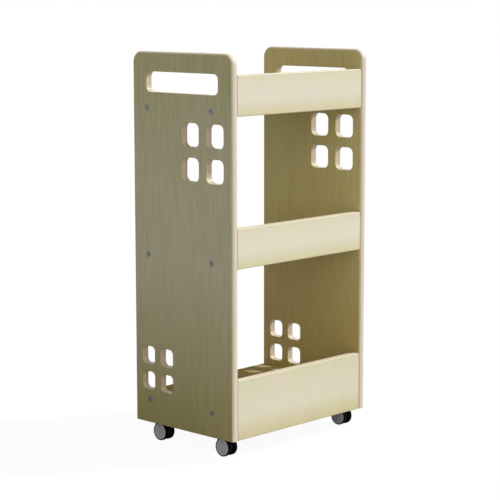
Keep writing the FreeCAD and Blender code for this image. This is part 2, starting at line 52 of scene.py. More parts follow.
USUAL = (0.3, 0.7)  # where nearly all of a noise's strength lies
CREASE = 32.0  # degrees between two faces from which their edge looks sharp
Tree = bpy.types.NodeTree
Socket = bpy.types.NodeSocket


class Axis(Enum):
    """A direction of the frame, as an index into a point."""

    X = 0
    Y = 1
    Z = 2


# ------------------------------------------------------------------ nodes
def linear(code: str) -> tuple[float, float, float, float]:
    """Turns an sRGB colour into linear light.

    Args:
        code: six hexadecimal digits, with or without a leading hash.

    Returns:
        Linear red, green and blue, and an alpha of 1.
    """
    digits = code.lstrip("#")
    parts = [int(digits[i:i + 2], 16) / 255 for i in (0, 2, 4)]
    red, green, blue = [p / 12.92 if p <= 0.04045 else ((p + 0.055) / 1.055) ** 2.4 for p in parts]
    return red, green, blue, 1.0


def feed(tree: Tree, node: bpy.types.Node, inputs: dict) -> None:
    """Sets or links the inputs of a node.

    Args:
        tree: the node tree that holds the node.
        node: the node.
        inputs: socket name or index to a value, or to the output socket that feeds it.
    """
    for key, value in inputs.items():
        if isinstance(value, Socket):
            tree.links.new(value, node.inputs[key])
        else:
            node.inputs[key].default_value = value


def add(tree: Tree, kind: str, inputs: dict | None = None, **settings: object) -> bpy.types.Node:
    """Adds one node with its settings and links.

    Args:
        tree: the node tree that gets the node.
        kind: the node's type name.
        inputs: socket name or index to a value, or to the output socket that feeds it.
        settings: attributes of the node.

    Returns:
        The new node.
    """
    node = tree.nodes.new(kind)
    for name, value in settings.items():
        setattr(node, name, value)
    feed(tree, node, inputs or {})
    return node


def calc(tree: Tree, operation: str, *values: Socket | float) -> Socket:
    """Adds a sum of one to three values.

    Args:
        tree: the node tree.
        operation: the sum's name.
        values: what goes into it.

    Returns:
        Its result.
    """
    return add(tree, "ShaderNodeMath", dict(enumerate(values)), operation=operation).outputs[0]


def carry(tree: Tree, value: Socket, start: float, end: float, low: float = 0.0, high: float = 1.0,
          clamp: bool = True) -> Socket:
    """Carries a value from one range over to another.

    Args:
        tree: the node tree.
        value: the value.
        start: where it gives low.
        end: where it gives high.
        low: result at start.
        high: result at end.
        clamp: whether the result stays between low and high.

    Returns:
        The result.
    """
    ends = {0: value, 1: start, 2: end, 3: low, 4: high}
    return add(tree, "ShaderNodeMapRange", ends, clamp=clamp).outputs[0]


def mix(tree: Tree, share: Socket, first: Socket | str, second: Socket | str) -> Socket:
    """Blends two colours.

    Args:
        tree: the node tree.
        share: how much of the second one shows, from 0 to 1.
        first: a colour, from a socket or as an sRGB code.
        second: the other one.

    Returns:
        The blend.
    """
    colours = [linear(colour) if isinstance(colour, str) else colour for colour in (first, second)]
    return add(tree, "ShaderNodeMix", {0: share, 6: colours[0], 7: colours[1]}, data_type="RGBA").outputs[2]


def noise(tree: Tree, place: Socket, scale: float, detail: float, roughness: float = 0.5) -> Socket:
    """Adds a cloudy pattern.

    Args:
        tree: the node tree.
        place: where it is read.
        scale: lumps per unit of place.
        detail: levels of finer lumps.
        roughness: how strong the finer lumps are.

    Returns:
        Its strength, about 0.5 on average.
    """
    return add(tree, "ShaderNodeTexNoise", {"Vector": place, "Scale": scale, "Detail": detail,
                                            "Roughness": roughness}).outputs["Fac"]


def relief(tree: Tree, height: Socket, strength: float, depth_mm: float) -> Socket:
    """Adds a bump.

    Args:
        tree: the node tree.
        height: the bump's height, from 0 to 1.
        strength: how much of it shows, from 0 to 1.
        depth_mm: height of a full bump.

    Returns:
        The bumped normal.
    """
    return add(tree, "ShaderNodeBump", {"Strength": strength, "Distance": depth_mm * MM,
                                        "Height": height}).outputs["Normal"]


def fresh_tree(owner: bpy.types.ID) -> Tree:
    """Empties the node tree of a material or a world.

    Args:
        owner: the material or world.

    Returns:
        Its node tree.
    """
    owner.use_nodes = True
    owner.node_tree.nodes.clear()
    return owner.node_tree


def new_material(name: str) -> tuple[bpy.types.Material, Tree, bpy.types.Node]:
    """Makes an empty material with one Principled shader.

    Args:
        name: the material's name.

    Returns:
        The material, its node tree and its shader node.
    """
    material = bpy.data.materials.new(name)
    tree = fresh_tree(material)
    shader = add(tree, "ShaderNodeBsdfPrincipled")
    add(tree, "ShaderNodeOutputMaterial", {"Surface": shader.outputs["BSDF"]})
    return material, tree, shader


# ------------------------------------------------------------------ objects
def dress(node: str, material: bpy.types.Material) -> None:
    """Gives a CAD node its material.

    Args:
        node: the CAD node's name.
        material: the finish for all of it.
    """
    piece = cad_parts[node]
    if not piece.material_slots:
        piece.data.materials.append(material)
    for material_slot in piece.material_slots:
        material_slot.material = material
    LOG.info("%s: %s", node, material.name)


def show(name: str, data: bpy.types.ID) -> bpy.types.Object:
    """Puts a mesh, lamp or camera into the scene.

    Args:
        name: the object's name.
        data: what it shows.

    Returns:
        The new object, at the origin.
    """
    shown = bpy.data.objects.new(name, data)
    bpy.context.scene.collection.objects.link(shown)
    return shown


# ------------------------------------------------------------------ finishes
@dataclass(frozen=True)
class Board:
    """Where a board lies, and which way its wood runs.

    The shift moves the pattern across the grain, so that no two boards look alike.
    """

    name: str
    low: Vector
    high: Vector
    thick: Axis
    grain: Axis
    shift: float

    @property
    def cross(self) -> Axis:
        """The axis across the grain, in the plane of the face."""
        return next(axis for axis in Axis if axis not in (self.thick, self.grain))

    def middle(self, axis: Axis) -> float:
        """Finds the board's middle.

        Args:
            axis: the axis along which it is measured.

        Returns:
            The middle's coordinate.
        """
        return (self.low[axis.value] + self.high[axis.value]) / 2

    def half(self, axis: Axis) -> float:
        """Finds half of the board's size.

        Args:
            axis: the axis along which it is measured.

        Returns:
            Half of the size.
        """
        return (self.high[axis.value] - self.low[axis.value]) / 2


@dataclass(frozen=True)
class Plywood:
    """Lacquered birch plywood: a sliced face veneer over crossed plies that show wherever an edge is cut.

    The veneer has faint flames, fine short streaks along the grain, broad patches that drift from olive
    (fresh) to a greyish pink (patch), and a few pin knots. The streaks stay in sight where age has evened
    out the tone (contrast). The cut edge is paler and pinker than the veneer, with stripes, because every
    second ply turns its end grain outwards. Thin satin lacquer leaves a weak sheen.

    A depth is how far a tone shows, from 0 to 1. A stretch is how many times longer than wide a figure
    is. A range is where a figure's strength starts to show a tone and where it shows it fully.
    """

    face: str = "#bab48f"
    flame: str = "#aaa277"
    patch: str = "#beb09a"
    fresh: str = "#b3b384"
    # crown: a paler tone painted at mid height, a painted sheen
    crown: str = "#bab48f"
    # foot: a darker tone painted towards the bottom, painted shade
    painted_foot_shade: str = "#bab48f"
    knot: str = "#7a6238"
    edge: str = "#e8dbc4"
    edge_dark: str = "#b89f82"
    # rim and its darker stripes: the outline's cut plies painted paler, a painted highlight
    rim: str = "#f0e6d5"
    painted_highlight_rim_dark: str = "#d8c3a8"
    rim_mm: float = 12.0
    rim_blur_mm: float = 1.0
    veneer_mm: float = 0.7
    glue_mm: float = 0.12
    plies: int = 9
    ply_blur: float = 0.08
    bend_mm: float = 0.5
    bend_width_mm: float = 60.0
    speck_mm: float = 0.9
    speck_dark: float = 0.55
    streak_mm: float = 4.0
    streak_stretch: float = 22.0
    streak_range: tuple[float, float] = (0.34, 0.68)
    streak_depth: float = 0.34
    streak_relief_mm: float = 0.2
    streak_relief: float = 0.1
    contrast: float = 0.08
    flame_mm: float = 90.0
    flame_stretch: float = 8.0
    flame_lines: float = 70.0
    flame_depth: float = 0.22
    patch_mm: float = 48.0
    patch_stretch: float = 3.5
    patch_range: tuple[float, float] = (0.48, 0.66)
    patch_depth: float = 0.85
    fresh_range: tuple[float, float] = (0.50, 0.34)
    fresh_depth: float = 0.55
    knots_per_m: tuple[float, float, float] = (9.0, 9.0, 4.2)
    knot_range: tuple[float, float] = (0.006, 0.016)
    knot_depth: float = 0.75
    # how strongly the painted sheen and the painted shade at the bottom show, and where that shade ends
    painted_mid_light_depth: float = 0.0
    painted_foot_shade_depth: float = 0.0
    painted_foot_shade_until: float = -0.3
    roughness: float = 0.46
    uneven: float = 0.05
    gloss: float = 0.3

    def material(self, board: Board) -> bpy.types.Material:
        """Builds the finish of one board.

        The distance from the board's middle plane tells the veneer from the cut plies.

        Args:
            board: the board that gets the finish.

        Returns:
            The material.
        """
        material, tree, shader = new_material(f"lacquered_birch_ply_{board.name}")
        parts = add(tree, "ShaderNodeSeparateXYZ", {0: add(tree, "ShaderNodeTexCoord").outputs["Object"]})
        level = calc(tree, "SUBTRACT", parts.outputs[board.thick.value], board.middle(board.thick))
        across = calc(tree, "ADD", parts.outputs[board.cross.value], board.shift)
        wood = add(tree, "ShaderNodeCombineXYZ",
                   {0: across, 1: level, 2: parts.outputs[board.grain.value]}).outputs[0]
        streak = self.figure(tree, wood, self.streak_mm, self.streak_stretch, 3.0)
        rise = carry(tree, parts.outputs[Axis.Z.value], board.low.z, board.high.z, -1.0, 1.0)
        light = carry(tree, streak, *USUAL, 1 + self.contrast, 1 - self.contrast, clamp=False)
        # painted sheen at mid height and painted shade towards the bottom go into the veneer
        veneer = self.painted_light_by_height(tree, rise, self.veneer(tree, wood, streak))
        face = add(tree, "ShaderNodeHueSaturation", {"Color": veneer, "Value": light}).outputs[0]
        edge = self.cut_edge(tree, parts, wood, level, board)
        rim = board.half(board.thick) - self.veneer_mm * MM
        is_face = carry(tree, calc(tree, "ABSOLUTE", level), rim - self.glue_mm * MM, rim + self.glue_mm * MM)
        feed(tree, shader, {
            "Base Color": mix(tree, is_face, edge, face),
            "Roughness": carry(tree, streak, *USUAL, self.roughness + self.uneven,
                               self.roughness - self.uneven),
            "Normal": relief(tree, streak, self.streak_relief, self.streak_relief_mm),
            "Specular IOR Level": self.gloss})
        return material

    def figure(self, tree: Tree, wood: Socket, across_mm: float, stretch: float, detail: float) -> Socket:
        """Lays a cloudy figure along the grain.

        A lump reaches about three times as deep through the board as it is wide.

        Args:
            tree: the material's node tree.
            wood: position as (across the grain, through the board, along the grain).
            across_mm: width of a lump across the grain.
            stretch: how many times longer than wide a lump is.
            detail: levels of finer lumps.

        Returns:
            The figure's strength, about 0.5 on average.
        """
        scale = (1 / (across_mm * MM), 0.35 / (across_mm * MM), 1 / (across_mm * stretch * MM))
        at = add(tree, "ShaderNodeVectorMath", {0: wood, 1: scale}, operation="MULTIPLY")
        return noise(tree, at.outputs[0], 1.0, detail, 0.58)

    def painted_light_by_height(self, tree: Tree, rise: Socket, colour: Socket) -> Socket:
        """Paints light and shade into the veneer's tone over the height of a standing board.

        The crown tone is a painted sheen, strongest halfway up, and falls off with the square of the distance
        from there; the foot tone is painted shade, strongest at the bottom, and falls off evenly.

        Args:
            tree: the material's node tree.
            rise: height on the board, from -1 at its bottom to 1 at its top.
            colour: the veneer's colour.

        Returns:
            The colour with the painted sheen and the painted shade in it.
        """
        # painted sheen strongest at mid height, painted shade strongest at the bottom
        crown = carry(tree, calc(tree, "MULTIPLY", rise, rise), 0.0, 1.0, self.painted_mid_light_depth, 0.0)
        painted_foot_shade = carry(tree, rise, -1.0, self.painted_foot_shade_until, self.painted_foot_shade_depth, 0.0)
        return mix(tree, painted_foot_shade, mix(tree, crown, colour, self.crown), self.painted_foot_shade)

    def veneer(self, tree: Tree, wood: Socket, streak: Socket) -> Socket:
        """Colours the face veneer.

        The flames are the contours of a figure that is stretched along the grain: the sine of many times
        its strength. Pin knots sit where a stretched cell pattern comes nearest to a cell's middle.

        Args:
            tree: the material's node tree.
            wood: position along the wood.
            streak: the fine streaks.

        Returns:
            The colour.
        """
        swell = self.figure(tree, wood, self.flame_mm, self.flame_stretch, 1.5)
        wave = calc(tree, "SINE", calc(tree, "MULTIPLY", swell, self.flame_lines))
        flame = carry(tree, wave, -1.0, 1.0, 0.0, self.flame_depth)
        fine = carry(tree, streak, *self.streak_range, 0.0, self.streak_depth)
        tone = mix(tree, calc(tree, "ADD", flame, fine), self.face, self.flame)
        broad = self.figure(tree, wood, self.patch_mm, self.patch_stretch, 3.0)
        tone = mix(tree, carry(tree, broad, *self.patch_range, 0.0, self.patch_depth), tone, self.patch)
        tone = mix(tree, carry(tree, broad, *self.fresh_range, 0.0, self.fresh_depth), tone, self.fresh)
        cell = add(tree, "ShaderNodeVectorMath", {0: wood, 1: self.knots_per_m}, operation="MULTIPLY")
        near = add(tree, "ShaderNodeTexVoronoi", {"Vector": cell.outputs[0], "Scale": 1.0})
        pin = carry(tree, near.outputs["Distance"], *self.knot_range, self.knot_depth, 0.0)
        return mix(tree, pin, tone, self.knot)

    def cut_edge(self, tree: Tree, parts: bpy.types.Node, wood: Socket, level: Socket,
                 board: Board) -> Socket:
        """Colours the cut plies.

        The depth, bent a little by a slow figure, runs to and fro between two ply faces, and each second
        ply is darker, with the specks of its end grain. The rim along the outline is painted paler than the
        cut-outs: a painted highlight for the light on the board's rounded outer edges.

        Args:
            tree: the material's node tree.
            parts: the position, separated into its three parts.
            wood: position along the wood.
            level: height above the board's middle plane.
            board: the board.

        Returns:
            The colour.
        """
        ply = 2 * (board.half(board.thick) - self.veneer_mm * MM) / (self.plies - 2)
        slow = self.figure(tree, wood, self.bend_width_mm, 1.0, 2.0)
        bent = calc(tree, "MULTIPLY_ADD", slow, self.bend_mm * MM, level)
        stripe = calc(tree, "PINGPONG", bent, ply)
        end_grain = carry(tree, stripe, ply * (0.5 - self.ply_blur), ply * (0.5 + self.ply_blur))
        grains = self.figure(tree, wood, self.speck_mm, 1.0, 1.0)
        dark = calc(tree, "MULTIPLY", end_grain, carry(tree, grains, *USUAL, self.speck_dark, 1.0))
        # the outline's ply edges are painted paler, a painted highlight
        painted_highlight_rim = self.rim_of(tree, parts, board)
        return mix(tree, dark, mix(tree, painted_highlight_rim, self.edge, self.rim),
                   mix(tree, painted_highlight_rim, self.edge_dark, self.painted_highlight_rim_dark))

    def rim_of(self, tree: Tree, parts: bpy.types.Node, board: Board) -> Socket:
        """Tells the board's outline, which is painted paler as a painted highlight, from its cut-outs.

        A place is on the rim when, along or across the grain, it is nearer to the board's end than the
        rim's depth.

        Args:
            tree: the material's node tree.
            parts: the position, separated into its three parts.
            board: the board.

        Returns:
            1 on the outline and 0 in the cut-outs.
        """
        reach = []
        for axis in (board.cross, board.grain):
            off = calc(tree, "SUBTRACT", parts.outputs[axis.value], board.middle(axis))
            reach.append(calc(tree, "SUBTRACT", calc(tree, "ABSOLUTE", off), board.half(axis)))
        return carry(tree, calc(tree, "MAXIMUM", *reach), -(self.rim_mm + self.rim_blur_mm) * MM,
                     -(self.rim_mm - self.rim_blur_mm) * MM)


@dataclass(frozen=True)
class Metal:
    """Plated or turned steel: fine rings left by turning, and a slightly uneven tone."""

    name: str = "zinc_plated_steel"
    colour: str = "#94949a"
    colour_dark: str = "#7e7e85"
    roughness: float = 0.38
    smoother: float = 0.08
    rougher: float = 0.1
    patch_mm: float = 4.0
    ring_mm: float = 0.5
    ring_relief: float = 0.15
    ring_relief_mm: float = 0.05

    def material(self) -> bpy.types.Material:
        """Builds the finish. The tone varies in patches, as a zinc bath leaves it.

        Returns:
            The material.
        """
        material, tree, shader = new_material(self.name)
        place = add(tree, "ShaderNodeTexCoord").outputs["Object"]
        patch = noise(tree, place, 1 / (self.patch_mm * MM), 3.0)
        grit = noise(tree, place, 1 / (self.ring_mm * MM), 2.0)
        feed(tree, shader, {
            "Metallic": 1.0,
            "Base Color": mix(tree, patch, self.colour, self.colour_dark),
            "Roughness": carry(tree, grit, *USUAL, self.roughness - self.smoother,
                               self.roughness + self.rougher),
            "Normal": relief(tree, grit, self.ring_relief, self.ring_relief_mm)})
        return material


@dataclass(frozen=True)
class Moulded:
    """Injection-moulded plastic: an even colour with a fine spark-eroded grain."""

    name: str
    colour: str
    colour_worn: str
    roughness: float
    smoother: float = 0.05
    rougher: float = 0.07
    worn_range: tuple[float, float] = (0.4, 0.75)
    worn_depth: float = 0.8
    patches_per_m: float = 90.0
    grain_mm: float = 0.45
    bump: float = 0.2
    bump_mm: float = 0.04
    gloss: float = 0.5
    rim: str | None = None
    painted_highlight_from_mm: float = 0.0
    rim_blur_mm: float = 0.25

    def material(self) -> bpy.types.Material:
        """Builds the finish. A rim colour, if any, is a painted highlight; it starts at a radius read from
        the piece's own attribute.

        Returns:
            The material.
        """
        material, tree, shader = new_material(self.name)
        place = add(tree, "ShaderNodeTexCoord").outputs["Object"]
        grain = noise(tree, place, 1 / (self.grain_mm * MM), 2.0)
        drift = noise(tree, place, self.patches_per_m, 3.0)
        worn = carry(tree, drift, *self.worn_range, 0.0, self.worn_depth)
        tone = mix(tree, worn, self.colour, self.colour_worn)
        # a paler ring painted from a radius outwards, a painted highlight
        if self.rim is not None:
            radius = add(tree, "ShaderNodeAttribute", attribute_name="radius_mm").outputs["Fac"]
            ring = carry(tree, radius, self.painted_highlight_from_mm - self.rim_blur_mm,
                         self.painted_highlight_from_mm + self.rim_blur_mm)
            tone = mix(tree, ring, tone, self.rim)
        feed(tree, shader, {
            "Base Color": tone,
            "Roughness": carry(tree, drift, *USUAL, self.roughness - self.smoother,
                               self.roughness + self.rougher),
            "Normal": relief(tree, grain, self.bump, self.bump_mm),
            "Specular IOR Level": self.gloss})
        return material


@dataclass(frozen=True)
class Beech:
    """Turned raw beech: short dark flecks on a pinkish brown ground, matt as sanded wood is."""

    colour: str = "#b98f63"
    fleck: str = "#8f683f"
    fleck_mm: float = 0.6
    fleck_stretch: float = 6.0
    fleck_range: tuple[float, float] = (0.52, 0.68)
    bump: float = 0.2
    bump_mm: float = 0.1
    roughness: float = 0.62

    def material(self) -> bpy.types.Material:
        """Builds the finish. The flecks are stretched along X, as most dowels lie that way.

        Returns:
            The material.
        """
        material, tree, shader = new_material("turned_beech")
        place = add(tree, "ShaderNodeTexCoord").outputs["Object"]
        across = 1 / (self.fleck_mm * MM)
        scale = (1 / (self.fleck_mm * self.fleck_stretch * MM), across, across)
        at = add(tree, "ShaderNodeVectorMath", {0: place, 1: scale}, operation="MULTIPLY")
        grain = noise(tree, at.outputs[0], 1.0, 2.0)
        feed(tree, shader, {
            "Base Color": mix(tree, carry(tree, grain, *self.fleck_range), self.colour, self.fleck),
            "Roughness": self.roughness,
            "Normal": relief(tree, grain, self.bump, self.bump_mm)})
        return material


# ------------------------------------------------------------------ mesh building
def round_profile(rows: np.ndarray, steps: int) -> np.ndarray:
    """Rounds the corners of a closed profile.

    Each corner becomes a quadratic curve: it starts one radius before the corner on the line to the
    previous point, bends towards the corner, and ends one radius after it on the line to the next point.

    Args:
        rows: corners, one per row, as (along, out, radius of the corner).
        steps: points on each rounded corner.

    Returns:
        The rounded profile, one point per row.
    """
    points, radii = rows[:, :2], rows[:, 2]
    to_last = np.roll(points, 1, axis=0) - points
    to_next = np.roll(points, -1, axis=0) - points
    start = points + to_last / np.linalg.norm(to_last, axis=1, keepdims=True) * radii[:, None]
    end = points + to_next / np.linalg.norm(to_next, axis=1, keepdims=True) * radii[:, None]
    t = np.linspace(0, 1, steps)[None, :, None]
    curve = (1 - t) ** 2 * start[:, None] + 2 * t * (1 - t) * points[:, None] + t ** 2 * end[:, None]
    return curve.reshape(-1, 2)


def revolve(profile: np.ndarray, axis: Axis, centre: Vector,
            segments: int) -> tuple[np.ndarray, np.ndarray]:
    """Turns a closed profile about an axis into a ring of quads.

    A point at angle a lies at (along, out cos a, out sin a) about the centre, with the first value on
    the axis and the other two on the axes that follow it.

    Args:
        profile: closed profile of (along, out) rows, in metres.
        axis: the axis of turning.
        centre: the point that along counts from.
        segments: steps round the circle.

    Returns:
        Vertices and quads.
    """
    angle = np.linspace(0, 2 * np.pi, segments, endpoint=False)[None, :]
    rings = np.empty((len(profile), segments, 3))
    rings[..., axis.value] = profile[:, 0, None]
    rings[..., (axis.value + 1) % 3] = profile[:, 1, None] * np.cos(angle)
    rings[..., (axis.value + 2) % 3] = profile[:, 1, None] * np.sin(angle)
    rings += np.array(centre)
    return rings.reshape(-1, 3), ring_quads(len(profile), segments, closed=True)


def ring_quads(rings: int, count: int, closed: bool) -> np.ndarray:
    """Joins rings of points by quads.

    Args:
        rings: how many rings there are.
        count: points in each ring.
        closed: whether the last ring is joined to the first one.

    Returns:
        The quads, one per row.
    """
    i, j = np.meshgrid(np.arange(rings if closed else rings - 1), np.arange(count), indexing="ij")
    i_next, j_next = (i + 1) % rings, (j + 1) % count
    return np.stack([i * count + j, i_next * count + j, i_next * count + j_next, i * count + j_next],
                    axis=-1).reshape(-1, 4)


def capped(rings: int, count: int) -> list[list[int]]:
    """Joins rings of points by quads and closes both ends with one polygon each.

    Args:
        rings: how many rings there are.
        count: points in each ring.

    Returns:
        The faces.
    """
    ends = [list(range(count)), list(range((rings - 1) * count, rings * count))]
    return ring_quads(rings, count, closed=False).tolist() + ends


def soft_outline(corners: np.ndarray, count: int, window: int) -> np.ndarray:
    """Rounds a closed outline evenly.

    Points at equal steps along the outline are each replaced by the mean of their neighbours within the
    window, twice over.

    Args:
        corners: corners of the outline, one point per row.
        count: points of the result.
        window: how many neighbours are averaged, an odd number.

    Returns:
        The rounded outline.
    """
    closed = np.concatenate([corners, corners[:1]])
    run = np.concatenate([[0], np.cumsum(np.linalg.norm(np.diff(closed, axis=0), axis=1))])
    at = np.linspace(0, run[-1], count, endpoint=False)
    points = np.stack([np.interp(at, run, closed[:, 0]), np.interp(at, run, closed[:, 1])], axis=1)
    for _ in range(2):
        steps = range(-(window // 2), window // 2 + 1)
        points = np.stack([np.roll(points, step, axis=0) for step in steps]).mean(axis=0)
    return points


def slab(outline: np.ndarray, half: float, bevel: float,
         steps: int) -> tuple[np.ndarray, list[list[int]]]:
    """Carries a closed outline through a thickness, with quarter-round edges.

    The outline shrinks towards its middle by bevel (1 - cos a) while it moves out by bevel sin a, for
    a from 0 to 90 degrees at both faces.

    Args:
        outline: closed (Y, Z) outline, one point per row.
        half: half of the thickness, along X.
        bevel: radius of the edge rounding.
        steps: rings in each quarter round.

    Returns:
        Vertices and faces; the two flat faces are one polygon each.
    """
    tangent = np.roll(outline, -1, axis=0) - np.roll(outline, 1, axis=0)
    normal = np.stack([tangent[:, 1], -tangent[:, 0]], axis=1)
    normal /= np.linalg.norm(normal, axis=1, keepdims=True)
    angle = np.linspace(0, np.pi / 2, steps)
    out = half - bevel + bevel * np.sin(angle)
    inset = bevel * (1 - np.cos(angle))
    x = np.concatenate([-out[::-1], out])
    shrink = np.concatenate([inset[::-1], inset])
    flat = outline[None] - normal[None] * shrink[:, None, None]
    rings = np.concatenate([np.broadcast_to(x[:, None, None], flat.shape[:2] + (1,)), flat], axis=-1)
    return rings.reshape(-1, 3), capped(*flat.shape[:2])


def piece_from(name: str, shells: list[tuple[np.ndarray, object]], material: bpy.types.Material,
               centre: Vector | None = None) -> bpy.types.Object:
    """Makes one object of closed shells, smooth except at sharp edges.

    Args:
        name: the piece's name.
        shells: vertices and faces of each shell.
        material: its finish.
        centre: a point on the X axis of turning; if given, each vertex stores its distance from that
            axis, in millimetres, as the attribute radius_mm.

    Returns:
        The new object, at the origin.
    """
    points, faces, start = [], [], 0
    for shell_points, shell_faces in shells:
        listed = shell_faces.tolist() if isinstance(shell_faces, np.ndarray) else shell_faces
        faces += [[index + start for index in face] for face in listed]
        points.append(shell_points)
        start += len(shell_points)
    cloud = np.concatenate(points)
    mesh = bpy.data.meshes.new(name)
    mesh.from_pydata(cloud.tolist(), [], faces)
    work = bmesh.new()
    work.from_mesh(mesh)
    bmesh.ops.recalc_face_normals(work, faces=work.faces)
    work.to_mesh(mesh)
    work.free()
    mesh.polygons.foreach_set("use_smooth", np.ones(len(mesh.polygons), dtype=bool))
    mesh.set_sharp_from_angle(angle=math.radians(CREASE))
    if centre is not None:
        radius = np.hypot(cloud[:, 1] - centre.y, cloud[:, 2] - centre.z) / MM
        stored = mesh.attributes.new("radius_mm", "FLOAT", "POINT")
        stored.data.foreach_set("value", radius.astype(np.float32))
    mesh.materials.append(material)
    return show(name, mesh)


# ------------------------------------------------------------------ sub-assemblies
@dataclass
class Boards:
    """The eight plywood boards and the two caster cleats, all carried over from the CAD model."""

    # each board's crown tone is a painted sheen at mid height, its foot tone painted shade at the bottom
    left: Plywood = Plywood(
        face="#ada878", flame="#9e9663", patch="#b2a684", fresh="#a8a870", crown="#c0b99d", painted_foot_shade="#998c55",
        streak_depth=0.6, patch_depth=0.9, fresh_depth=0.7, painted_mid_light_depth=0.68, painted_foot_shade_depth=0.7, painted_foot_shade_until=-0.1)
    right: Plywood = Plywood(
        face="#c2b77b", flame="#b5a764", patch="#c4b086", fresh="#bab570", crown="#d4c688", painted_foot_shade="#b09048",
        patch_depth=0.7, fresh_depth=0.5, painted_mid_light_depth=0.8, painted_foot_shade_depth=0.7, painted_foot_shade_until=0.2)
    rail: Plywood = Plywood(
        face="#e8e3c2", flame="#dfd8ae", patch="#ebe0c8", fresh="#e1e1b8", crown="#f1eadb", painted_foot_shade="#dccf9a",
        knot="#b39f75", flame_depth=0.12, streak_depth=0.4, contrast=0.01, patch_mm=30.0, fresh_depth=0.8,
        painted_mid_light_depth=0.55, painted_foot_shade_depth=0.55, painted_foot_shade_until=-0.2)
    low_rail: Plywood = Plywood(
        face="#e3ddba", flame="#dad2a6", patch="#e6dac0", fresh="#dcdbb0", crown="#ece4d2", painted_foot_shade="#d2c48c",
        knot="#b39f75", flame_depth=0.12, streak_depth=0.4, contrast=0.01, patch_mm=30.0, fresh_depth=0.8,
        painted_mid_light_depth=0.5, painted_foot_shade_depth=0.7, painted_foot_shade_until=-0.3)
    shelf: Plywood = Plywood(face="#beae78", flame="#af9d61", patch="#bda77a", fresh="#b5a969", gloss=0.0)
    cleat: Plywood = Plywood(plies=17)
    pattern_step: float = 1.37

    def build(self) -> None:
        """Dresses every board, each with its own piece of the pattern."""
        jobs = [("left_side_panel", self.left, Axis.X, Axis.Z),
                ("right_side_panel", self.right, Axis.X, Axis.Z)]
        jobs += [(f"{name}_front_rail", self.rail, Axis.Y, Axis.Z) for name in ("top", "middle")]
        jobs += [("bottom_front_rail", self.low_rail, Axis.Y, Axis.Z)]
        jobs += [(f"{name}_shelf", self.shelf, Axis.Z, Axis.X) for name in ("top", "middle", "bottom")]
        jobs += [(f"{name}_caster_cleat", self.cleat, Axis.Z, Axis.Y) for name in ("left", "right")]
        for number, (node, finish, thick, grain) in enumerate(jobs, start=1):
            low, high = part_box(node)
            dress(node, finish.material(Board(node, low, high, thick, grain, self.pattern_step * number)))


